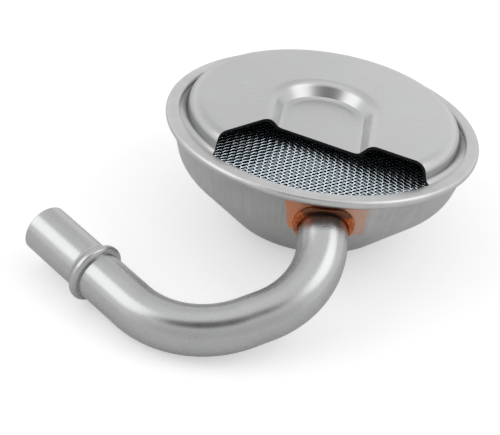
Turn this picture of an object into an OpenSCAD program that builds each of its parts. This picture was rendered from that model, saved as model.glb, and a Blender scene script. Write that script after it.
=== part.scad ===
// Engine oil pickup: a pressed bowl with a crimped rim that clamps a woven
// screen and a pressed lid with an intake window, and a bent suction tube
// brazed into the side of the bowl. The free end of the tube presses into
// the oil pump as far as its bead. Sizes are in millimetres and degrees.

/* [Bowl] */
// Outer radius over the crimped rim
rim_r = 52.8; // [49:0.1:60]
// Sheet thickness of the bowl
bowl_t = 1.2; // [0.8:0.1:1.6]
// Depth from the screen seat to the underside of the floor
bowl_depth = 33.4; // [30:0.1:40]
// Lean of the side wall from the vertical
wall_draft = 16; // [10:1:20]
// Drop from the screen seat to the knee between side wall and cone
knee_drop = 12.9; // [11:0.1:16]
// Slope of the cone below the horizontal
cone_slope = 44; // [40:1:50]
// Bend radius of the knee
knee_r = 12; // [6:0.5:16]
// Bend radius round the floor
heel_r = 7; // [4:0.5:10]

/* [Crimped rim] */
// Width of the lip that is folded in over the lid
lip_w = 4.4; // [3.6:0.1:5]
// Bend radius of the fold, at mid sheet
fold_r = 1; // [0.9:0.05:1.3]
// Width of the flat part of the seat under the screen
seat_w = 0.7; // [0.2:0.1:1]

/* [Screen] */
// Thickness of the woven screen
screen_t = 0.7; // [0.5:0.05:1]
// Distance from one open mesh to the next
mesh_pitch = 8; // [7.4:0.1:12]
// Width of an open mesh
mesh_w = 5.2; // [3:0.1:5.6]
// Width of the ridge on each strand between the meshes
ridge_w = 1.4; // [0.7:0.1:1.7]
// Height of a ridge above its strand
ridge_h = 0.2; // [0.1:0.05:0.2]
// Direction of the upper ridges
weave_turn = 36; // [0:1:90]

/* [Lid] */
// Sheet thickness of the lid
lid_t = 1; // [0.7:0.1:1.4]
// Rise of the top face above the flange
lid_rise = 6.9; // [6:0.1:8]
// Gap between the lip's edge and the foot of the riser, at mid sheet
lid_gap = 2.3; // [2:0.1:4]
// Lean of the riser from the vertical
riser_lean = 16; // [10:1:20]
// Bend radius of the shoulder, at mid sheet
shoulder_r = 3.5; // [2:0.1:4]
// Bend radius between riser and flange, at mid sheet
flange_r = 3; // [1.5:0.1:3.2]

/* [Lid pocket] */
// Depth of the pocket's floor below the top face
pocket_depth = 4.75; // [4:0.05:5.5]
// Radius of the flat floor of the pocket
pocket_r = 11.3; // [9:0.1:13]
// Slope of the pocket's side
pocket_slope = 60; // [54:1:70]
// Bend radius at the top edge of the pocket, at mid sheet
pocket_top_bend = 3; // [2:0.1:3.6]
// Bend radius round the floor of the pocket, at mid sheet
pocket_foot_bend = 3.5; // [2:0.1:4.2]
// Distance of the pocket's centre behind the lid's centre
pocket_back = 0.7; // [0:0.1:3]
// Turn of the pocket about the lid's axis
pocket_turn = -8.5; // [-12:0.5:10]
// Thinning of each face of the sheet where the pocket is drawn
draw_thin = 0.03; // [0.02:0.01:0.1]
// Length of the pocket's straight sides
pocket_run = 30; // [26:0.5:31]

/* [Intake window] */
// Angle between the two straight edges
window_open = 112.7; // [104:0.1:120]
// Turn of the window about its apex
window_turn = 6.3; // [-2:0.1:9]
// Place of the apex across the lid
apex_x = -15.8; // [-18:0.1:-12]
// Distance of the apex in front of the lid's centre
apex_y = 9.6; // [8:0.1:12]
// Radius of the rounded apex
apex_r = 4; // [2:0.5:8]
// Length of the left straight edge
window_left = 26; // [22:0.1:28]
// Length of the right straight edge
window_right = 51; // [44:0.1:52]
// Radius of the two outer corners
window_corner_r = 2; // [1:0.1:4]
// Flare of the left cut that runs down through the riser
left_flare = 27; // [6:1:40]
// Flare of the right cut that runs down through the riser
right_flare = 56; // [20:1:64]
// Width of the ring of flange that stays whole under the lip
flange_ring = 2.4; // [1:0.1:2.6]

/* [Suction tube] */
// Outer diameter of the tube
tube_d = 15.9; // [14:0.1:18]
// Wall thickness of the tube
tube_t = 1.24; // [0.9:0.02:2]
// Gap all round between the tube and its hole in the bowl
tube_clear = 0.05; // [0.02:0.01:0.2]
// Drop from the screen seat to the place where the tube meets the bowl
joint_drop = 10.3; // [9.6:0.1:11.5]
// Turn of that place about the bowl's axis
joint_turn = -1.2; // [-6:0.1:6]
// Dip of the tube below the horizontal where it leaves the bowl
tube_dip_angle = 27.8; // [20:0.1:32]
// Length of tube that reaches in from the outside of the bowl
tube_inside = 4.5; // [3:0.1:5]
// Straight run from the bowl to the first bend
run_1 = 5.3; // [4:0.1:12]
// Bend radius of the tube's centre line
bend_r = 30.2; // [24:0.5:40]
// Thinning of each face of the tube's wall in the bends
bend_thin = 0.03; // [0.02:0.01:0.1]
// Angle of the first bend
bend_1_angle = 62.9; // [45:0.1:80]
// Roll of the first bend's plane below the level
roll_1_angle = 3.5; // [0:0.1:10]
// Straight run between the bends
run_2 = 6.4; // [2:0.1:20]
// Angle of the second bend
bend_2_angle = 71.4; // [50:0.1:85]
// Roll of the second bend against the first
roll_2_angle = 11.4; // [0:0.1:16]
// Straight run from the second bend to the seat face of the bead
run_3 = 21.4; // [10:0.1:30]

/* [Pump end] */
// Length that presses into the pump, from the bead to the end
press_l = 22.8; // [15:0.1:40]
// Width of the bead
bead_w = 4.6; // [3:0.1:6]
// Height of the bead above the tube
bead_h = 2; // [1:0.1:2.4]
// Lead-in chamfer at the end of the tube
lead_in = 0.6; // [0.2:0.1:0.9]

/* [Braze] */
// Width of the braze on the bowl, from the tube outwards
braze_w = 1.4; // [1.2:0.1:2.6]
// Height of the braze above the bowl
braze_h = 1.3; // [1:0.1:2]
// Lean of the braze's outer face from the tube
braze_lean = 25; // [15:1:35]

/* [Lying pose] */
// Tilt of the bowl's axis when the part lies on its floor and its tube
lie_tilt = 3.1; // [0:0.1:12]
// Direction of the line that the part tilts about
lie_turn = 149; // [90:1:180]

/* [Hidden] */
$fn = 96;
arc_step = 7.5;
ease = 1;
lap = 0.2;

tube_r = tube_d / 2;
seat_z = 0;
stack_t = screen_t + lid_t;
lip_z = seat_z + stack_t + bowl_t / 2;
hem_r = rim_r - bowl_t / 2;
flat_r = hem_r - fold_r;
lip_r = rim_r - lip_w;
ledge_z = seat_z - bowl_t / 2;
floor_z = seat_z - bowl_depth + bowl_t / 2;
wall_bend = 90 - wall_draft;
wall_r = flat_r - seat_w - fold_r * tan(wall_bend / 2);
knee_z = seat_z - knee_drop;
knee_line_r = wall_r - (ledge_z - knee_z) * tan(wall_draft);
heel_line_r = knee_line_r - (knee_z - floor_z) / tan(cone_slope);
outer_wall_r = wall_r + bowl_t / 2 / cos(wall_draft);
joint_r = outer_wall_r - (joint_drop - bowl_t / 2) * tan(wall_draft);

screen_z = seat_z;
flange_z = seat_z + screen_t + lid_t / 2;
top_z = flange_z + lid_rise;
riser_foot_r = lip_r - lid_gap;
lid_top_r = riser_foot_r - lid_rise * tan(riser_lean);
pocket_foot_r = pocket_r + pocket_foot_bend * tan(pocket_slope / 2);
pocket_lip_r = pocket_foot_r + pocket_depth / tan(pocket_slope);
pocket_floor_z = top_z - pocket_depth;
pocket_edge = pocket_lip_r + pocket_top_bend * tan(pocket_slope / 2);

// Left-hand normal of a direction of travel
function normal_at(a) = [-sin(a), cos(a)];

// Direction from one point to the next
function heading(p, q) = atan2(q[1] - p[1], q[0] - p[0]);

// Turn from one direction to another, between -180 and 180
function turn_of(a, b) = (b - a + 540) % 360 - 180;

// A point of a list without its bend radius
function flat_pt(p) = [p[0], p[1]];

// Points of one bend at corner q, shifted to the left by off
function bend_pts(p, q, s, off) =
    let (a = heading(p, q))
    let (turn = turn_of(a, heading(q, s)))
    let (side = sign(turn))
    let (back = q[2] * tan(abs(turn) / 2))
    let (start = flat_pt(q) - back * [cos(a), sin(a)])
    let (centre = start + side * q[2] * normal_at(a))
    let (n = max(2, ceil(abs(turn) / arc_step)))
    [for (i = [0:n]) centre + (off - side * q[2]) * normal_at(a + turn * i / n)];

// Line through corners [x, y, bend radius], shifted to the left by off
function bent(c, off) =
    let (last = len(c) - 1)
    concat(
        [flat_pt(c[0]) + off * normal_at(heading(c[0], c[1]))],
        [for (i = [1:last - 1]) each bend_pts(c[i - 1], c[i], c[i + 1], off)],
        [flat_pt(c[last]) + off * normal_at(heading(c[last - 1], c[last]))]
    );

// Section of a bent sheet of thickness t about its middle line
function sheet(c, t) =
    let (inner = bent(c, t / 2))
    concat(bent(c, -t / 2), [for (i = [len(inner) - 1:-1:0]) inner[i]]);

// Placing matrices
function move_by(v) = [[1, 0, 0, v[0]], [0, 1, 0, v[1]], [0, 0, 1, v[2]], [0, 0, 0, 1]];
function turn_x(a) = [[1, 0, 0, 0], [0, cos(a), -sin(a), 0], [0, sin(a), cos(a), 0], [0, 0, 0, 1]];
function turn_y(a) = [[cos(a), 0, sin(a), 0], [0, 1, 0, 0], [-sin(a), 0, cos(a), 0], [0, 0, 0, 1]];
function turn_z(a) = [[cos(a), -sin(a), 0, 0], [sin(a), cos(a), 0, 0], [0, 0, 1, 0], [0, 0, 0, 1]];

// Frame at the far end of a bend that starts along Z and curves towards X
function past_bend(a) = move_by([bend_r, 0, 0]) * turn_y(a) * move_by([-bend_r, 0, 0]);

// Frames along the tube, with Z along its centre line
joint_frame = turn_z(joint_turn) * move_by([0, -joint_r, seat_z - joint_drop]) * turn_x(90 + tube_dip_angle);
bend_1_frame = joint_frame * move_by([0, 0, run_1]) * turn_z(180 + roll_1_angle);
run_2_frame = bend_1_frame * past_bend(bend_1_angle);
bend_2_frame = run_2_frame * move_by([0, 0, run_2]) * turn_z(roll_2_angle);
run_3_frame = bend_2_frame * past_bend(bend_2_angle);
bead_frame = run_3_frame * move_by([0, 0, run_3]);

// The part lies level on its floor and tube, with its origin at the bead's seat
lie_frame = turn_z(lie_turn) * turn_x(lie_tilt) * turn_z(-lie_turn);
bead_seat = lie_frame * bead_frame * [0, 0, 0, 1];
part_frame = move_by([-bead_seat[0], -bead_seat[1], -bead_seat[2]]) * lie_frame;

// Middle lines of the pressed sheets, from the axis outwards
bowl_line = [
    [0, floor_z],
    [heel_line_r, floor_z, heel_r],
    [knee_line_r, knee_z, knee_r],
    [wall_r, ledge_z, fold_r],
    [hem_r, ledge_z, fold_r],
    [hem_r, lip_z, fold_r],
    [lip_r, lip_z]
];
body_line = [for (i = [0:3]) bowl_line[i]];
lid_line = [
    [0, top_z],
    [lid_top_r, top_z, shoulder_r],
    [riser_foot_r, flange_z, flange_r],
    [flat_r, flange_z]
];
pocket_line = [
    [0, pocket_floor_z],
    [pocket_foot_r, pocket_floor_z, pocket_foot_bend],
    [pocket_lip_r, top_z, pocket_top_bend],
    [pocket_edge + ease, top_z]
];
pocket_half = [for (p = pocket_line) if (p[0] > 0) p];
pocket_channel = concat(
    [for (i = [len(pocket_half) - 1:-1:0]) [-pocket_half[i][0], pocket_half[i][1], pocket_half[i][2]]],
    pocket_half
);

// Corners of the intake window, seen from above
function along(p, a, l) = [p[0] + l * cos(a), p[1] + l * sin(a)];
front = -90;
window_axis = front + window_turn;
apex = [apex_x, -apex_y];
left_corner = along(apex, window_axis - window_open / 2, window_left);
right_corner = along(apex, window_axis + window_open / 2, window_right);
window_line = [
    along(left_corner, front - left_flare, rim_r),
    [left_corner[0], left_corner[1], window_corner_r],
    [apex[0], apex[1], apex_r],
    [right_corner[0], right_corner[1], window_corner_r],
    along(right_corner, front + right_flare, rim_r)
];

module bowl() {
    color("silver") multmatrix(part_frame) difference() {
        rotate_extrude() polygon(sheet(bowl_line, bowl_t));
        multmatrix(joint_frame) translate([0, 0, -tube_d])
            cylinder(r = tube_r + tube_clear, h = 2 * tube_d);
    }
}

// One set of parallel ridges, along the strands of the screen
module ridges() {
    reach = ceil(flat_r / mesh_pitch);
    intersection() {
        circle(r = flat_r);
        for (i = [-reach:reach]) translate([-rim_r, i * mesh_pitch + (mesh_pitch - ridge_w) / 2])
            square([2 * rim_r, ridge_w]);
    }
}

// Strands of the screen, with the open meshes between them
module strands() {
    clear_r = lip_r - mesh_w;
    reach = floor(clear_r / mesh_pitch);
    difference() {
        circle(r = flat_r);
        for (i = [-reach:reach], j = [-reach:reach]) {
            place = [i, j] * mesh_pitch;
            if (norm(place) < clear_r) translate(place) square(mesh_w, center = true);
        }
    }
}

module screen() {
    color("lightsteelblue") multmatrix(part_frame) translate([0, 0, screen_z]) rotate(weave_turn) {
        rotate(90) linear_extrude(ridge_h) ridges();
        translate([0, 0, ridge_h]) linear_extrude(screen_t - 2 * ridge_h) strands();
        translate([0, 0, screen_t - ridge_h]) linear_extrude(ridge_h) ridges();
    }
}

// Outline of the pocket at its top edge
module pocket_outline() {
    circle(r = pocket_edge);
    translate([-pocket_edge, -pocket_run]) square([2 * pocket_edge, pocket_run]);
}

// Drawn sheet of the pocket: half a dish with a channel that runs out to the window
module pocket() {
    drawn_t = lid_t - 2 * draw_thin;
    rotate_extrude(angle = 180) polygon(sheet(pocket_line, drawn_t));
    rotate([90, 0, 0]) linear_extrude(pocket_run - ease) polygon(sheet(pocket_channel, drawn_t));
}

// The window as a block through the whole lid
module window() {
    translate([0, 0, flange_z - lid_t]) linear_extrude(lid_rise + 2 * lid_t) intersection() {
        polygon(bent(window_line, 0));
        circle(r = flat_r - flange_ring);
    }
}

module lid() {
    color("gainsboro") multmatrix(part_frame) difference() {
        union() {
            difference() {
                rotate_extrude() polygon(sheet(lid_line, lid_t));
                rotate(pocket_turn) translate([0, pocket_back, top_z - lid_t])
                    linear_extrude(2 * lid_t) pocket_outline();
            }
            rotate(pocket_turn) translate([0, pocket_back, 0]) pocket();
        }
        window();
    }
}

// Cross-section of the tube, with each face of its wall set back by thin
module tube_ring(thin = 0) {
    difference() {
        circle(r = tube_r - thin);
        circle(r = tube_r - tube_t + thin);
    }
}

// A straight run of the tube that starts before and ends after its length by a lap
module tube_run(before, l, after) {
    translate([0, 0, -before]) linear_extrude(before + l + after) tube_ring();
}

// A bend of the tube that starts along Z and curves towards X
module tube_bend(a) {
    translate([bend_r, 0, 0]) rotate([90, 0, 180]) rotate_extrude(angle = a)
        translate([bend_r, 0]) tube_ring(bend_thin);
}

// Half section of the pump end, from the second bend to the tip. The bead
// ramps up from the pump side and drops off steeply on the bend side.
module pump_end_section() {
    bore_r = tube_r - tube_t;
    bead_r = tube_r + bead_h;
    tip = run_3 + press_l;
    bead_line = [
        [tube_r, tip - lead_in],
        [tube_r, run_3 - bead_h / 2, bead_h / 2],
        [bead_r, run_3 - bead_w / 2, bead_h / 2],
        [bead_r, run_3 - bead_w, bead_h / 4],
        [tube_r, run_3 - bead_w]
    ];
    polygon(concat(
        [[bore_r, -lap], [bore_r, tip], [tube_r - lead_in, tip]],
        bent(bead_line, 0),
        [[tube_r, -lap]]
    ));
}

module pickup_tube() {
    color("silver") multmatrix(part_frame) {
        multmatrix(joint_frame) tube_run(tube_inside, run_1, lap);
        multmatrix(bend_1_frame) tube_bend(bend_1_angle);
        multmatrix(run_2_frame) tube_run(lap, run_2, lap);
        multmatrix(bend_2_frame) tube_bend(bend_2_angle);
        multmatrix(run_3_frame) rotate_extrude() pump_end_section();
    }
}

// Half section of the braze's outer face, rounded over and flaring out towards the bowl
module braze_flare() {
    toe = tube_r + braze_w;
    root = -2 * braze_w;
    crest_line = [
        [toe - root * tan(braze_lean), root],
        [toe, 0, braze_w / 2],
        [tube_r, braze_w / 2]
    ];
    polygon(concat(bent(crest_line, 0), [[0, braze_w / 2], [0, root]]));
}

module braze_ring() {
    color("peru") multmatrix(part_frame) difference() {
        intersection() {
            multmatrix(joint_frame) rotate_extrude() braze_flare();
            rotate_extrude() polygon(concat(bent(body_line, -bowl_t / 2 - braze_h), [[0, ledge_z]]));
        }
        rotate_extrude() polygon(concat(bent(bowl_line, -bowl_t / 2), [[0, lip_z + bowl_t / 2]]));
        multmatrix(joint_frame) translate([0, 0, -tube_d]) cylinder(r = tube_r, h = 2 * tube_d);
    }
}

bowl();
screen();
lid();
pickup_tube();
braze_ring();
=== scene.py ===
import bpy
import math
from mathutils import Matrix, Vector


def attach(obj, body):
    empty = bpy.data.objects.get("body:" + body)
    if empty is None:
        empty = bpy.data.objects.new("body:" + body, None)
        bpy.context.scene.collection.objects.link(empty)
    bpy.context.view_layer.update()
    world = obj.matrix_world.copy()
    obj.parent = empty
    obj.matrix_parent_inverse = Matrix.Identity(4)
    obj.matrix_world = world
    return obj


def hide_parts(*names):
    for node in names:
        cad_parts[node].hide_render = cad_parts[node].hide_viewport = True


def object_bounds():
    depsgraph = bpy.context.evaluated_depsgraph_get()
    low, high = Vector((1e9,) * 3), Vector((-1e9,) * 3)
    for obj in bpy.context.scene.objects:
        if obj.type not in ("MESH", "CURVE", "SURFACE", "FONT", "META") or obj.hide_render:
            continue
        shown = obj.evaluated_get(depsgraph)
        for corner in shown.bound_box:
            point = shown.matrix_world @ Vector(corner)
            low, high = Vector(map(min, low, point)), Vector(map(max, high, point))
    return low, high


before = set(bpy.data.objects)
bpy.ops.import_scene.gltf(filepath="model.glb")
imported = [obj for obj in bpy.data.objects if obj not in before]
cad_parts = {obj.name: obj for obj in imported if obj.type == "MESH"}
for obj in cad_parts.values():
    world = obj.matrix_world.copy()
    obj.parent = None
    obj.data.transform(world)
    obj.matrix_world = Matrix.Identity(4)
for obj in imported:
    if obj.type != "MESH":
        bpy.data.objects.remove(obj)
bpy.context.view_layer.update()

# Sizes of the pickup, in millimetres and degrees, as in its source. The lid's rise, the tube and its bead
# are a few hundredths smaller, so that the dressed part stays inside the solids' box.
RIM_R, BOWL_T, BOWL_DEPTH = 52.8, 1.2, 33.4
WALL_DRAFT, KNEE_DROP, CONE_SLOPE, KNEE_R, HEEL_R = 16, 12.9, 44, 12, 7
LIP_W, FOLD_R, SEAT_W = 4.4, 1, 0.7
SCREEN_T = 0.7
LID_T, LID_RISE, LID_GAP, RISER_LEAN, SHOULDER_R, FLANGE_R = 1, 6.89, 2.3, 16, 3.5, 3
POCKET_DEPTH, POCKET_R, POCKET_BACK, POCKET_TURN, POCKET_RUN = 4.75, 11.3, 0.7, -8.5, 30
WINDOW_OPEN, WINDOW_TURN, APEX, APEX_R = 112.7, 6.3, (-15.8, -9.6), 4
WINDOW_LEFT, WINDOW_RIGHT, WINDOW_CORNER_R, FLANGE_RING = 26, 51, 2, 2.4
LEFT_FLARE, RIGHT_FLARE = 27, 56
TUBE_R, TUBE_T, JOINT_DROP, JOINT_TURN, TUBE_DIP, TUBE_INSIDE = 7.91, 1.24, 10.3, -1.2, 27.8, 4.5
RUN_1, BEND_R, BEND_1, ROLL_1, RUN_2, BEND_2, ROLL_2, RUN_3 = 5.3, 30.2, 62.9, 3.5, 6.4, 71.4, 11.4, 21.4
PRESS_L, BEAD_W, BEAD_H, LEAD_IN = 22.8, 4.6, 1.92, 0.6
LIE_TILT, LIE_TURN = 3.1, 149

# Sizes of the dressed part alone: soft pocket walls, a rim that slants up below its fold, the reach of wires
# and flange under the fold, and the weave
CREASE_OUT, CREASE_LIFT, CREASE_SLOPE, CREASE_R, POCKET_FLOOR_BEND = 2.8, 0.73, 28, 0.6, 4.5
POCKET_WALL, POCKET_TOP_BEND, POCKET_MARGIN, POCKET_SHIFT = 51, 4, 2.1, -0.3
HEM_SLACK, HEM_SLANT, HEM_BEND, LIP_LIFT, EDGE_BEVEL, HOLE_GAP = 0.03, 1.6, 0.8, 0.2, 0.25, 0.05
SEAT_R, FLANGE_REACH = 49.3, 50.3
WARP_TURN, WEFT_TURN, WIRE_PITCH = 35, 128.5, 1.553


def tangent(degrees):
    return math.tan(math.radians(degrees))


# Places that follow from the sizes, seen along the bowl's axis from the screen's seat
LIP_Z = SCREEN_T + LID_T + BOWL_T / 2
HEM_R = RIM_R - BOWL_T / 2
FLAT_R = HEM_R - FOLD_R
LIP_R = RIM_R - LIP_W
LEDGE_Z = -BOWL_T / 2
FLOOR_Z = BOWL_T / 2 - BOWL_DEPTH
WALL_R = FLAT_R - SEAT_W - FOLD_R * tangent((90 - WALL_DRAFT) / 2)
KNEE_LINE_R = WALL_R - (LEDGE_Z + KNEE_DROP) * tangent(WALL_DRAFT)
HEEL_LINE_R = KNEE_LINE_R - (-KNEE_DROP - FLOOR_Z) / tangent(CONE_SLOPE)
OUTER_WALL_R = WALL_R + BOWL_T / 2 / math.cos(math.radians(WALL_DRAFT))
JOINT_R = OUTER_WALL_R - (JOINT_DROP - BOWL_T / 2) * tangent(WALL_DRAFT)
FLANGE_Z = SCREEN_T + LID_T / 2
TOP_Z = FLANGE_Z + LID_RISE
RISER_FOOT_R = LIP_R - LID_GAP
LID_TOP_R = RISER_FOOT_R - LID_RISE * tangent(RISER_LEAN)
POCKET_FLOOR_Z = TOP_Z - POCKET_DEPTH


def move(x, y, z):
    return Matrix.Translation((x, y, z))


def turn(axis, degrees):
    return Matrix.Rotation(math.radians(degrees), 4, axis)


def past_bend(degrees):
    return move(BEND_R, 0, 0) @ turn("Y", degrees) @ move(-BEND_R, 0, 0)


# Frames along the tube, and the frame in which the part lies on a table
joint = turn("Z", JOINT_TURN) @ move(0, -JOINT_R, -JOINT_DROP) @ turn("X", 90 + TUBE_DIP)
first_bend = move(0, 0, RUN_1) @ turn("Z", 180 + ROLL_1)
second_run = first_bend @ past_bend(BEND_1)
second_bend = second_run @ move(0, 0, RUN_2) @ turn("Z", ROLL_2)
pump_run = second_bend @ past_bend(BEND_2)
bead_foot = joint @ pump_run @ move(0, 0, RUN_3)
lie = turn("Z", LIE_TURN) @ turn("X", LIE_TILT) @ turn("Z", -LIE_TURN)
on_table = Matrix.Scale(0.001, 4) @ move(*-(lie @ bead_foot).translation) @ lie


def folded(corners, off, step=6):
    """Points of a bent line through corners (x, y, bend radius), shifted to its left by off."""
    def heading(p, q):
        return math.atan2(q[1] - p[1], q[0] - p[0])

    def left(p, angle, by):
        return Vector((p[0] - by * math.sin(angle), p[1] + by * math.cos(angle)))

    points = [left(corners[0], heading(corners[0], corners[1]), off)]
    for before, corner, after in zip(corners, corners[1:], corners[2:]):
        way, onward = heading(before, corner), heading(corner, after)
        angle = (onward - way + math.pi) % (2 * math.pi) - math.pi
        side, radius = math.copysign(1, angle), corner[2]
        back = radius * math.tan(abs(angle) / 2)
        start = Vector(corner[:2]) - back * Vector((math.cos(way), math.sin(way)))
        centre = left(start, way, side * radius)
        parts = max(2, math.ceil(math.degrees(abs(angle)) / step))
        points += [left(centre, way + angle * i / parts, off - side * radius) for i in range(parts + 1)]
    points.append(left(corners[-1], heading(corners[-2], corners[-1]), off))
    return points


def clear_bench():
    if bpy.context.mode != "OBJECT":
        bpy.ops.object.mode_set(mode="OBJECT")
    bpy.ops.object.select_all(action="DESELECT")
    bpy.context.tool_settings.mesh_select_mode = (True, False, False)


def take(piece):
    """Makes a piece the only one that is worked on."""
    clear_bench()
    piece.select_set(True)
    bpy.context.view_layer.objects.active = piece


def named(name):
    piece = bpy.context.object
    piece.name = piece.data.name = name
    return piece


def pick(piece, test):
    """Selects the points of a piece that pass the test, and stays in edit mode."""
    take(piece)
    bpy.ops.object.mode_set(mode="EDIT")
    bpy.ops.mesh.select_mode(type="VERT")
    bpy.ops.mesh.select_all(action="DESELECT")
    bpy.ops.object.mode_set(mode="OBJECT")
    for point in piece.data.vertices:
        point.select = test(point.co)
    bpy.ops.object.mode_set(mode="EDIT")


def pick_faces(piece, test):
    """Selects the faces of a piece that pass the test, and stays in edit mode."""
    take(piece)
    bpy.ops.object.mode_set(mode="EDIT")
    bpy.ops.mesh.select_mode(type="FACE")
    bpy.ops.mesh.select_all(action="DESELECT")
    bpy.ops.object.mode_set(mode="OBJECT")
    for face in piece.data.polygons:
        face.select = test(face.center, face.normal)
    bpy.ops.object.mode_set(mode="EDIT")


def scribe(name, points):
    """Draws a line through points, one extrusion after another, and stays in edit mode."""
    clear_bench()
    bpy.ops.mesh.primitive_plane_add(size=1, location=(0, 0, 0))
    piece = named(name)
    bpy.ops.object.mode_set(mode="EDIT")
    bpy.ops.mesh.select_mode(type="VERT")
    bpy.ops.mesh.select_all(action="SELECT")
    bpy.ops.mesh.merge(type="CENTER")
    bpy.ops.transform.translate(value=points[0])
    for here, there in zip(points, points[1:]):
        bpy.ops.mesh.extrude_vertices_move(TRANSFORM_OT_translate={"value": Vector(there) - Vector(here)})
    return piece


def sew(piece, gap=0.002, outwards=True):
    """Merges points that lie on each other and turns the faces outwards."""
    take(piece)
    bpy.ops.object.mode_set(mode="EDIT")
    bpy.ops.mesh.select_all(action="SELECT")
    bpy.ops.mesh.remove_doubles(threshold=gap)
    if outwards:
        bpy.ops.mesh.normals_make_consistent(inside=False)
    bpy.ops.object.mode_set(mode="OBJECT")


def turned(name, line, steps, degrees=360):
    """Spins a line of (radius, height) about the upright axis."""
    piece = scribe(name, [(r, 0, z) for r, z in line])
    bpy.ops.mesh.select_all(action="SELECT")
    bpy.ops.mesh.spin(steps=steps, angle=math.radians(-degrees), center=(0, 0, 0), axis=(0, 0, 1))
    sew(piece)
    return piece


def work(piece, kind, **settings):
    """Puts one modifier on a piece and applies it."""
    take(piece)
    step = piece.modifiers.new(kind.lower(), kind)
    for name, value in settings.items():
        setattr(step, name, value)
    bpy.ops.object.modifier_apply(modifier=step.name)


def settle(piece, matrix):
    """Puts a piece in its place and leaves the place in its mesh."""
    take(piece)
    piece.matrix_world = matrix
    bpy.ops.object.transform_apply(location=True, rotation=True, scale=True)


def fuse(piece, *others):
    take(piece)
    for other in others:
        other.select_set(True)
    bpy.ops.object.join()


def discard(piece):
    take(piece)
    bpy.ops.object.delete()


def smooth(piece, degrees):
    take(piece)
    bpy.ops.object.shade_smooth_by_angle(angle=math.radians(degrees))


class Amount:
    """A value in a material that can be used in sums."""

    def __init__(self, finish, socket):
        self.finish, self.socket = finish, socket

    def sum(self, how, *values):
        made = self.finish.node("ShaderNodeMath", {"operation": how}, dict(enumerate(values)))
        return Amount(self.finish, made.outputs[0])

    def __add__(self, other):
        return self.sum("ADD", self, other)

    def __sub__(self, other):
        return self.sum("SUBTRACT", self, other)

    def __rsub__(self, other):
        return self.sum("SUBTRACT", other, self)

    def __mul__(self, other):
        return self.sum("MULTIPLY", self, other)

    def __truediv__(self, other):
        return self.sum("DIVIDE", self, other)

    def __rtruediv__(self, other):
        return self.sum("DIVIDE", other, self)

    def __abs__(self):
        return self.sum("ABSOLUTE", self)

    __radd__, __rmul__ = __add__, __mul__

    def most(self, other):
        return self.sum("MAXIMUM", self, other)

    def root(self):
        return self.sum("SQRT", self)

    def angle_over(self, other):
        return self.sum("ARCTAN2", self, other)

    def from_to(self, low, high):
        """Rises softly from 0 at low to 1 at high, or falls where high is the lower."""
        made = self.finish.node(
            "ShaderNodeMapRange",
            {"interpolation_type": "SMOOTHSTEP"},
            {"Value": self, "From Min": min(low, high), "From Max": max(low, high),
             "To Min": 0 if low < high else 1, "To Max": 1 if low < high else 0},
        )
        return Amount(self.finish, made.outputs["Result"])


class Nodes:
    """A node tree, and the one way to add a node to it."""

    def __init__(self, tree):
        self.tree = tree
        tree.nodes.clear()

    def node(self, kind, settings=None, sockets=None):
        made = self.tree.nodes.new(kind)
        for name, value in (settings or {}).items():
            setattr(made, name, value)
        self.feed(made, sockets or {})
        return made

    def feed(self, made, sockets):
        for name, value in sockets.items():
            if isinstance(value, Amount):
                value = value.socket
            if isinstance(value, bpy.types.NodeSocket):
                self.tree.links.new(value, made.inputs[name])
            else:
                made.inputs[name].default_value = value

    def parts_of(self, place):
        made = self.node("ShaderNodeSeparateXYZ", {}, {0: place})
        return [Amount(self, made.outputs[i]) for i in range(3)]

    def place(self, x, y, z):
        return self.node("ShaderNodeCombineXYZ", {}, {0: x, 1: y, 2: z}).outputs[0]

    def noise(self, place, scale, detail=2, roughness=0.5):
        made = self.node("ShaderNodeTexNoise", {}, {
            "Vector": place, "Scale": scale, "Detail": detail, "Roughness": roughness})
        return Amount(self, made.outputs[0])

    def blend(self, share, first, second):
        made = self.node("ShaderNodeMix", {"data_type": "RGBA"}, {0: share, 6: first, 7: second})
        return made.outputs[2]

    def grey(self, amount):
        return self.node("ShaderNodeCombineColor", {}, {0: amount, 1: amount, 2: amount}).outputs[0]

    def bump(self, height, strength, depth):
        return self.node("ShaderNodeBump", {}, {
            "Height": height, "Strength": strength, "Distance": depth}).outputs[0]

    def rays(self, kind):
        """One for rays of a kind, such as camera or glossy rays, and zero for the others."""
        return Amount(self, self.node("ShaderNodeLightPath").outputs["Is %s Ray" % kind])


class Finish(Nodes):
    """A material, with its shader and the nodes that feed it."""

    def __init__(self, name):
        self.material = bpy.data.materials.new(name)
        self.material.use_nodes = True
        super().__init__(self.material.node_tree)
        self.shader = self.node("ShaderNodeBsdfPrincipled")
        self.node("ShaderNodeOutputMaterial", {}, {"Surface": self.shader.outputs[0]})

    def on_bowl(self):
        """Place on the part in millimetres, with the bowl upright and its seat at zero."""
        back = on_table.inverted()
        here = self.node("ShaderNodeTexCoord").outputs["Object"]
        made = self.node("ShaderNodeMapping", {}, {
            "Vector": here, "Location": back.translation,
            "Rotation": back.to_euler(), "Scale": back.to_scale()})
        return made.outputs[0]


def rgb(r, g, b):
    return (r, g, b, 1)


BLACK = rgb(0, 0, 0)


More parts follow.
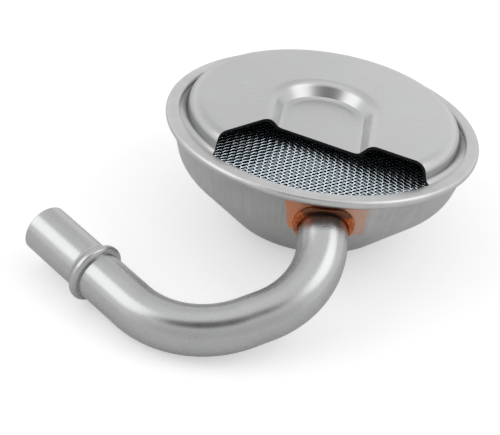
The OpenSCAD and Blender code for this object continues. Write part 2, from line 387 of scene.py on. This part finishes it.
def lid_steel():
    """Pressed sheet with a satin grain that runs across the lid."""
    finish = Finish("lid_steel")
    place = finish.on_bowl()
    x, y, z = finish.parts_of(place)
    grain = finish.noise(place, 2.4, 3, 0.6)
    rolled = finish.noise(finish.place(x * 0.12, y * 1.7, z), 1, 4, 0.65)
    cloud = finish.noise(place, 0.07, 3, 0.55)
    spot = ((x + 27) * (x + 27) + (y - 12) * (y - 12)).from_to(9, 1)
    scuff = spot * finish.noise(place, 1.6, 3, 0.7).from_to(0.56, 0.66)
    # The riser below the shoulder is darkened in the base colour: painted shade.
    riser_painted_shade = (x * x + y * y).root().from_to(43.4, 44.4) * z.from_to(2.6, 3.6) * z.from_to(6.2, 5)
    pocket_wall = (x * x + y * y).from_to(1100, 900) * z.from_to(4.3, 5) * z.from_to(8.5, 7.6)
    sheen = 0.89 + 0.1 * cloud + 0.04 * grain + 0.1 * rolled
    # The tone rises towards +x, so one side of the lid is lighter: painted light.
    tone = (0.54 + 0.05 * x.from_to(-20, 45) - 0.22 * riser_painted_shade) * sheen + 0.1 * scuff
    finish.feed(finish.shader, {
        "Base Color": finish.blend(tone, BLACK, rgb(0.985, 0.99, 1)), "Metallic": 0.95,
        "Roughness": 0.22 + 0.06 * cloud + 0.06 * rolled + 0.04 * pocket_wall,
        "Normal": finish.bump(grain, 0.01, 0.00003)})
    return finish.material


def cut_edge_painted_shade():
    """Sheared edge of the sheet, near black: painted shade on the cut faces of the window."""
    finish = Finish("cut_edge_painted_shade")
    grain = finish.noise(finish.on_bowl(), 3, 3, 0.6)
    finish.feed(finish.shader, {
        "Base Color": finish.blend(grain, rgb(0.008, 0.008, 0.009), rgb(0.045, 0.045, 0.046)),
        "Metallic": 0.9, "Roughness": 0.5})
    return finish.material


def bowl_steel():
    """Pressed sheet with drawing lines on its side wall and a copper flash round the joint."""
    finish = Finish("bowl_steel")
    place = finish.on_bowl()
    x, y, z = finish.parts_of(place)
    across = 48 * x.angle_over(0 - y)
    streaks = finish.noise(finish.place(across * 1.5, z * 0.05, 0), 1, 4, 0.7)
    grain = finish.noise(place, 2.2, 3, 0.65)
    cloud = finish.noise(place, 0.11, 3, 0.6)
    lines = z.from_to(-15, -11) * (streaks - 0.5) * (1 - 0.75 * z.from_to(-0.5, 1))
    # The side wall below the rim is darker than the rim: painted shade.
    wall = z.from_to(0.8, -0.6)
    tone = (0.62 - 0.08 * wall) * (0.78 + 0.3 * cloud + 0.1 * grain + 0.5 * lines)
    steel = finish.blend(tone, BLACK, rgb(0.985, 0.995, 0.985))
    wander = finish.noise(place, 0.4, 3, 0.6) - 0.5
    left_edge = (x + 0.21 * z + 0.8 * wander).from_to(-14.7, -14.1)
    right_edge = (x + 1.5 * wander).from_to(13, 11.2) * (1 - 0.35 * x.from_to(5, 12))
    foot = (z + 1.2 * wander).from_to(-12.9, -12.2)
    under_rim = z.from_to(0.6, 0.1)
    flash = y.from_to(-30, -36) * left_edge * right_edge * foot * under_rim
    copper = finish.blend(x.from_to(-7, 8), rgb(0.9, 0.34, 0.16), rgb(0.66, 0.34, 0.22))
    copper = finish.blend(0.8 * (streaks - 0.2), copper, rgb(0.66, 0.34, 0.2))
    finish.feed(finish.shader, {
        "Base Color": finish.blend(0.92 * flash + 0.25 * flash * lines, steel, copper), "Metallic": 0.95,
        "Roughness": 0.29 + 0.1 * cloud + 0.06 * grain,
        "Normal": finish.bump(0.5 * grain + 3 * lines, 0.15, 0.00003)})
    return finish.material


def hollow_painted_shade():
    """Steel inside the bowl and under the lid, near black: painted shade."""
    finish = Finish("hollow_painted_shade")
    cloud = finish.noise(finish.on_bowl(), 0.15, 4, 0.6)
    finish.feed(finish.shader, {
        "Base Color": finish.blend(cloud, rgb(0.012, 0.012, 0.013), rgb(0.05, 0.05, 0.052)),
        "Metallic": 0.9, "Roughness": 0.4 + 0.2 * cloud})
    return finish.material


def tube_steel():
    """Drawn tube, satin, with a few pits and a burnt tint by the joint."""
    finish = Finish("tube_steel")
    place = finish.on_bowl()
    x, y, z = finish.parts_of(place)
    grain = finish.noise(place, 2, 3, 0.65)
    cloud = finish.noise(place, 0.14, 3, 0.6)
    pits = finish.noise(place, 1.1, 2, 0.5).from_to(0.7, 0.76)
    tone = 0.51 * (0.88 + 0.14 * cloud + 0.08 * grain) - 0.12 * pits
    steel = finish.blend(tone, BLACK, rgb(0.985, 0.99, 1))
    spot, way = joint.translation, joint.to_3x3() @ Vector((0, 0, 1))
    dx, dy, dz = x - spot.x, y - spot.y, z - spot.z
    along = dx * way.x + dy * way.y + dz * way.z
    near = (dx * dx + dy * dy + dz * dz).from_to(200, 140)
    burn_and_shade = near * (along - 3 * dz.from_to(0, 8) + 3 * (grain - 0.5)).from_to(4.2, 0)
    soot = finish.blend(abs(dx).from_to(3.5, 6.5), rgb(0.035, 0.024, 0.02), rgb(0.3, 0.11, 0.05))
    finish.feed(finish.shader, {
        "Base Color": finish.blend(0.85 * burn_and_shade, steel, soot), "Metallic": 0.95,
        "Roughness": 0.2 + 0.08 * cloud + 0.06 * grain,
        "Normal": finish.bump(0.4 * grain - 2 * pits, 0.025, 0.00003)})
    return finish.material


def screen_wire():
    """Woven wire with a cool cast, made paler near the rim by a painted reflection."""
    finish = Finish("screen_wire")
    place = finish.on_bowl()
    x, y, z = finish.parts_of(place)
    grain = finish.noise(place, 1.2, 2, 0.5)
    wire = finish.blend(grain, rgb(0.7, 0.81, 0.88), rgb(0.86, 0.95, 1))
    # Paler towards the rim: painted reflection.
    finish.feed(finish.shader, {
        "Base Color": finish.blend((x * x + y * y).root().from_to(43, 48), wire, rgb(0.88, 0.94, 0.96)),
        "Metallic": 0.95, "Roughness": 0.2 + 0.08 * grain})
    return finish.material


def braze_copper():
    """Flowed copper with random burnt patches, darkened towards the top by painted shade under the rim."""
    finish = Finish("braze_copper")
    place = finish.on_bowl()
    x, y, z = finish.parts_of(place)
    patch = finish.noise(place, 0.6, 4, 0.6)
    # Darker towards the top: painted shade under the rim; the noise adds burnt patches.
    burn_and_shade = (0.7 * (patch - 0.5) + z.from_to(-7, -2)).from_to(0.25, 0.75)
    red = finish.blend(patch.from_to(0.35, 0.65), rgb(0.36, 0.08, 0.022), rgb(0.7, 0.2, 0.06))
    finish.feed(finish.shader, {
        "Base Color": finish.blend(burn_and_shade, red, rgb(0.12, 0.05, 0.03)), "Metallic": 0.95,
        "Roughness": 0.14 + 0.2 * patch, "Normal": finish.bump(patch, 0.35, 0.0003)})
    return finish.material


def make_bowl(steel, dark):
    """Pressed bowl whose rim is folded over, with a hole for the tube."""
    hem = HEM_R - HEM_SLACK
    line = [
        (0, FLOOR_Z), (HEEL_LINE_R, FLOOR_Z, HEEL_R), (KNEE_LINE_R, -KNEE_DROP, KNEE_R),
        (WALL_R, LEDGE_Z, FOLD_R), (hem, LEDGE_Z + HEM_SLANT, HEM_BEND), (hem, LIP_Z, HEM_BEND),
        (LIP_R, LIP_Z + LIP_LIFT)]
    under, inside = folded(line, -BOWL_T / 2), folded(line, BOWL_T / 2)
    bowl = turned("bowl_pressing", under + inside[::-1], 180)
    work(bowl, "BEVEL", width=EDGE_BEVEL, segments=3, limit_method="ANGLE", angle_limit=math.radians(60))
    clear_bench()
    bpy.ops.mesh.primitive_cylinder_add(vertices=96, radius=TUBE_R + HOLE_GAP, depth=4 * TUBE_R)
    drill = named("drill")
    settle(drill, joint)
    work(bowl, "BOOLEAN", operation="DIFFERENCE", object=drill, solver="EXACT")
    discard(drill)
    bowl.data.materials.append(steel)
    bowl.data.materials.append(dark)
    # Faces inside the bowl get the near-black painted shade.
    pick_faces(bowl, lambda middle, normal: middle.z < -0.05 and normal.dot(middle) < 0)
    bowl.active_material_index = 1
    bpy.ops.object.material_slot_assign()
    bpy.ops.object.mode_set(mode="OBJECT")
    return bowl


def window_outline():
    """Outline of the intake window, seen from above."""
    axis = -90 + WINDOW_TURN

    def along(p, degrees, length):
        angle = math.radians(degrees)
        return (p[0] + length * math.cos(angle), p[1] + length * math.sin(angle))

    left = along(APEX, axis - WINDOW_OPEN / 2, WINDOW_LEFT)
    right = along(APEX, axis + WINDOW_OPEN / 2, WINDOW_RIGHT)
    reach = FLAT_R - FLANGE_RING

    def to_ring(p, degrees):
        step = (math.cos(math.radians(degrees)), math.sin(math.radians(degrees)))
        half = p[0] * step[0] + p[1] * step[1]
        length = -half + math.sqrt(half * half + reach * reach - p[0] * p[0] - p[1] * p[1])
        return along(p, degrees, length)

    far_left, far_right = to_ring(left, -90 - LEFT_FLARE), to_ring(right, -90 + RIGHT_FLARE)
    edge = folded([
        far_left, (*left, WINDOW_CORNER_R), (*APEX, APEX_R), (*right, WINDOW_CORNER_R), far_right], 0, 8)
    start = math.atan2(far_right[1], far_right[0])
    end = math.atan2(far_left[1], far_left[0])
    ring = [start + (end - start) * i / 40 for i in range(1, 40)]
    return edge + [Vector((reach * math.cos(a), reach * math.sin(a))) for a in ring]


def make_lid(steel, edge, dark):
    """Pressed lid with a drawn pocket that runs out into the intake window."""
    inner = 41
    top = TOP_Z + LID_T / 2
    crease = (POCKET_R + CREASE_OUT, POCKET_FLOOR_Z + CREASE_LIFT)
    floor_edge = crease[0] - CREASE_LIFT / tangent(CREASE_SLOPE)
    wall_top = crease[0] + (TOP_Z - crease[1]) / tangent(POCKET_WALL)
    pocket_edge = wall_top + POCKET_MARGIN
    pocket_place = turn("Z", POCKET_TURN) @ move(POCKET_SHIFT, POCKET_BACK, 0)
    dish = folded([
        (0, POCKET_FLOOR_Z), (floor_edge, POCKET_FLOOR_Z, POCKET_FLOOR_BEND), (*crease, CREASE_R),
        (wall_top, TOP_Z, POCKET_TOP_BEND), (pocket_edge, TOP_Z)], LID_T / 2, 4)
    pocket = turned("pocket", dish, 64, 180)
    pick(pocket, lambda p: abs(p.y) < 0.001)
    for run in range(8):
        bpy.ops.mesh.extrude_region_move(TRANSFORM_OT_translate={"value": (0, -POCKET_RUN / 8, 0)})
    settle(pocket, pocket_place)
    skirt = folded([
        (inner, TOP_Z), (LID_TOP_R, TOP_Z, SHOULDER_R),
        (RISER_FOOT_R, FLANGE_Z, FLANGE_R), (FLANGE_REACH, FLANGE_Z)], LID_T / 2, 5)
    lid = turned("lid_pressing", skirt, 180)
    fuse(lid, pocket)
    to_pocket = pocket_place.inverted()

    def on_pocket_edge(p):
        q = to_pocket @ p
        reach = abs(q.x) if q.y < 0 else math.hypot(q.x, q.y)
        return abs(p.z - top) < 0.01 and abs(reach - pocket_edge) < 0.01

    pick(lid, lambda p: on_pocket_edge(p) and (to_pocket @ p).y < 0.01 - POCKET_RUN)
    bpy.ops.mesh.edge_face_add()
    pick(lid, lambda p: on_pocket_edge(p) or abs(math.hypot(p.x, p.y) - inner) < 0.01)
    bpy.ops.mesh.fill(use_beauty=True)
    sew(lid)
    if sum(face.normal.z * face.area for face in lid.data.polygons) < 0:
        bpy.ops.object.mode_set(mode="EDIT")
        bpy.ops.mesh.select_all(action="SELECT")
        bpy.ops.mesh.flip_normals()
        bpy.ops.object.mode_set(mode="OBJECT")
    work(lid, "SOLIDIFY", thickness=LID_T, offset=-1, use_even_offset=True)
    lid.data.materials.append(steel)
    die = scribe("die", [(p.x, p.y, -5) for p in window_outline()])
    bpy.ops.mesh.select_all(action="SELECT")
    bpy.ops.mesh.edge_face_add()
    bpy.ops.mesh.extrude_region_move(TRANSFORM_OT_translate={"value": (0, 0, 20)})
    sew(die)
    # The die's near-black painted shade passes to the window's cut faces.
    die.data.materials.append(edge)
    work(lid, "BOOLEAN", operation="DIFFERENCE", object=die, solver="EXACT", material_mode="TRANSFER")
    discard(die)
    lid.data.materials.append(dark)
    # Faces under the lid get the near-black painted shade.
    pick_faces(lid, lambda middle, normal: normal.z < -0.05)
    lid.active_material_index = 2
    bpy.ops.object.material_slot_assign()
    bpy.ops.object.mode_set(mode="OBJECT")
    return lid


def make_tube(steel):
    """Tube that is bent twice, with a rolled bead before its free end."""
    clear_bench()
    bpy.ops.mesh.primitive_circle_add(vertices=72, radius=TUBE_R, location=(0, 0, 0))
    tube = named("bent_tube")
    bpy.ops.object.mode_set(mode="EDIT")
    bpy.ops.mesh.select_all(action="SELECT")
    bpy.ops.transform.translate(value=(0, 0, -TUBE_INSIDE))

    def straight(way, length, parts):
        for part in range(parts):
            bpy.ops.mesh.extrude_region_move(TRANSFORM_OT_translate={
                "value": way.to_3x3() @ Vector((0, 0, length / parts))})

    def bend(way, degrees, parts):
        bpy.ops.mesh.spin(
            steps=parts, angle=math.radians(-degrees), center=way @ Vector((BEND_R, 0, 0)),
            axis=way.to_3x3() @ Vector((0, 1, 0)))

    straight(Matrix(), TUBE_INSIDE + RUN_1, 4)
    bend(first_bend, BEND_1, 36)
    straight(second_run, RUN_2, 3)
    bend(second_bend, BEND_2, 40)
    bpy.ops.object.mode_set(mode="OBJECT")
    tip = RUN_3 + PRESS_L
    foot = RUN_3 - BEAD_W
    crest = TUBE_R + BEAD_H
    groove = TUBE_R - 0.2
    seam = [
        (TUBE_R, 0), (TUBE_R, foot - 1.2), (TUBE_R, foot - 0.6), (TUBE_R, foot - 0.38), (groove, foot - 0.12)]
    bead = folded([
        (groove, foot - 0.1), (TUBE_R + 0.9, foot + 0.05, 0.3), (crest, foot + 0.7, 0.8),
        (crest, foot + 2.1, 1.2), (TUBE_R, RUN_3 - 0.2, 2.6), (TUBE_R, tip - LEAD_IN)], 0, 9)
    lead = [(TUBE_R - 0.28, tip - 0.3), (TUBE_R - LEAD_IN, tip - 0.04)]
    pump_end = turned("pump_end", seam + [tuple(p) for p in bead] + lead, 72)
    settle(pump_end, pump_run @ turn("Z", -180 - ROLL_1 - ROLL_2))
    fuse(tube, pump_end)
    sew(tube, 0.02)
    work(tube, "SOLIDIFY", thickness=TUBE_T, offset=-1)
    settle(tube, joint)
    tube.data.materials.append(steel)
    return tube


def make_braze(copper):
    """Braze that has flowed into the corner between tube and bowl."""
    clear_bench()
    braze = bpy.data.objects.new("braze_fillet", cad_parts["braze_ring"].data.copy())
    bpy.context.scene.collection.objects.link(braze)
    braze.data.materials.clear()
    grain, swell = 0.00022, 0.0001
    sew(braze, 0.000001, False)
    work(braze, "REMESH", mode="VOXEL", voxel_size=grain)
    work(braze, "SMOOTH", factor=0.5, iterations=12)
    work(braze, "DISPLACE", strength=swell, mid_level=0)
    braze.data.materials.append(copper)
    return braze


def make_wires(name, wire, over):
    """One set of parallel wires of the plain weave, dished and pressed wider beside the rim."""
    pitch, swing, wide, high = WIRE_PITCH, 0.15, 0.17, 0.12
    dish_r, dish_step, press_r, press_step = 47.5, 0.2, 42, 0.02
    reach = 34
    angles = (WARP_TURN, WEFT_TURN) if over else (WEFT_TURN, WARP_TURN)
    run, across = (Vector((math.cos(math.radians(a)), math.sin(math.radians(a)), 0)) for a in angles)
    side = Vector((-run.y, run.x, 0))
    gap = pitch * side.dot(across)

    def past_seat(p):
        """Whether the ring of a wire that a point belongs to lies past the seat."""
        return math.hypot(p.dot(run), gap * round(p.dot(side) / gap)) > SEAT_R

    clear_bench()
    bpy.ops.mesh.primitive_circle_add(vertices=6, radius=1, location=(0, 0, 0))
    wires = named(name)
    settle(wires, turn("Y", 90) @ Matrix.Diagonal((high, wide, 1, 1)))
    bpy.ops.object.mode_set(mode="EDIT")
    bpy.ops.mesh.select_all(action="SELECT")
    lift = swing if over else -swing
    bpy.ops.transform.translate(value=(-2 * reach * pitch, 0, lift))
    for half in range(8 * reach):
        drop = -lift if half % 4 < 2 else lift
        bpy.ops.mesh.extrude_region_move(TRANSFORM_OT_translate={"value": (pitch / 2, 0, drop)})
    bpy.ops.object.mode_set(mode="OBJECT")
    settle(wires, turn("Z", angles[0]))
    work(wires, "ARRAY", count=2, use_relative_offset=False, use_constant_offset=True,
         constant_offset_displace=(across + run) * pitch)
    work(wires, "ARRAY", count=reach, use_relative_offset=False, use_constant_offset=True,
         constant_offset_displace=across * 2 * pitch)
    settle(wires, Matrix.Translation(-across * pitch * reach) @ move(0, 0, SCREEN_T / 2))
    pick(wires, past_seat)
    bpy.ops.mesh.delete(type="VERT")
    bpy.ops.mesh.select_all(action="SELECT")
    bpy.ops.mesh.fill_holes(sides=6)
    sew(wires)
    for ring in range(6):
        pick(wires, lambda p: math.hypot(p.x, p.y) < dish_r - ring)
        bpy.ops.transform.translate(value=(0, 0, -dish_step))
        pick(wires, lambda p: math.hypot(p.x, p.y) > press_r + ring)
        bpy.ops.transform.shrink_fatten(value=press_step)
    clear_bench()
    wires.data.materials.append(wire)
    return wires


dark = hollow_painted_shade()
wire = screen_wire()
bowl = make_bowl(bowl_steel(), dark)
lid = make_lid(lid_steel(), cut_edge_painted_shade(), dark)
tube = make_tube(tube_steel())
braze = make_braze(braze_copper())
warp = make_wires("screen_warp", wire, True)
weft = make_wires("screen_weft", wire, False)
for piece in (bowl, lid, tube, warp, weft):
    settle(piece, on_table)
for piece, node, slot, crease in (
    (bowl, "bowl", "bowl_steel", 32),
    (lid, "lid", "lid_steel", 32),
    (tube, "pickup_tube", "tube_steel", 40),
    (braze, "braze_ring", "braze_copper", 80),
    (warp, "screen", "screen_wire", 70),
    (weft, "screen", "screen_wire", 70),
):
    smooth(piece, crease)
    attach(piece, "root")
    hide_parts(node)

# Camera where the photograph was taken from, placed by the bowl
camera = bpy.data.objects.new("camera", bpy.data.cameras.new("camera"))
camera.data.lens = 115.2
aim = turn("Z", -1.179) @ turn("Y", -7.2793) @ turn("X", 58.8297)
stand = on_table @ move(-65.64, -473.03, 246.89) @ aim
camera.location = stand.translation
camera.rotation_euler = stand.to_euler()
bpy.context.scene.collection.objects.link(camera)
bpy.context.scene.camera = camera

# White surroundings. Mirror rays also see a greyer ceiling and near side,
# and a dark patch above the camera.
world = bpy.data.worlds.new("surroundings")
bpy.context.scene.world = world
world.use_nodes = True
room = Nodes(world.node_tree)
east, north, up = room.parts_of(room.node("ShaderNodeTexCoord").outputs["Generated"])
mirror = room.rays("Glossy")
rise = (north * 0.866 + up * 0.5) / 0.27
aside = (east + 0.1) / 0.5
shade = (rise * rise + aside * aside).from_to(1.4, 0.4) * up.from_to(0, 0.3)
ceiling = 0.2 * up.from_to(0.3, 0.6) * (1 - 0.9 * up.from_to(0.75, 0.95))
near_side = 0.36 * north.from_to(-0.2, -0.8) * up.from_to(0.8, 0.4)
white = room.node("ShaderNodeBackground", {}, {
    "Color": room.grey(1 - mirror * ceiling.most(near_side).most(0.95 * shade)), "Strength": 1})
dim = room.node("ShaderNodeBackground", {}, {"Color": rgb(1, 1, 1), "Strength": 0.75})
shown = room.rays("Camera").most(mirror).most(room.rays("Transmission"))
either = room.node("ShaderNodeMixShader", {}, {0: shown, 1: dim.outputs[0], 2: white.outputs[0]})
room.node("ShaderNodeOutputWorld", {}, {"Surface": either.outputs[0]})

# A pale table and two soft lamps, all about the middle of the part
middle = (0.05, 0.04, 0.01)
clear_bench()
bpy.ops.mesh.primitive_plane_add(size=6, location=(middle[0], middle[1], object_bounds()[0][2]))
table = named("table")
paper = Finish("table_paper")
paper.feed(paper.shader, {
    "Base Color": rgb(0.68, 0.68, 0.68), "Roughness": 0.8, "Emission Color": paper.grey(
        0.45 * paper.rays("Camera") + 0.08 * paper.rays("Glossy")),
    "Emission Strength": 1})
table.data.materials.append(paper.material)


def lamp(name, place, aim, size, power):
    light = bpy.data.lights.new(name, "AREA")
    light.shape, light.size, light.energy = "DISK", size, power
    holder = bpy.data.objects.new(name, light)
    holder.location = place
    holder.rotation_euler = (Vector(aim) - Vector(place)).to_track_quat("-Z", "Y").to_euler()
    bpy.context.scene.collection.objects.link(holder)


lamp("left_softbox", (-0.8, -0.03, 0.74), middle, 0.85, 1.9)
lamp("right_softbox", (0.87, -0.08, 0.89), middle, 0.85, 2.1)

bpy.context.scene.view_settings.view_transform = "Standard"
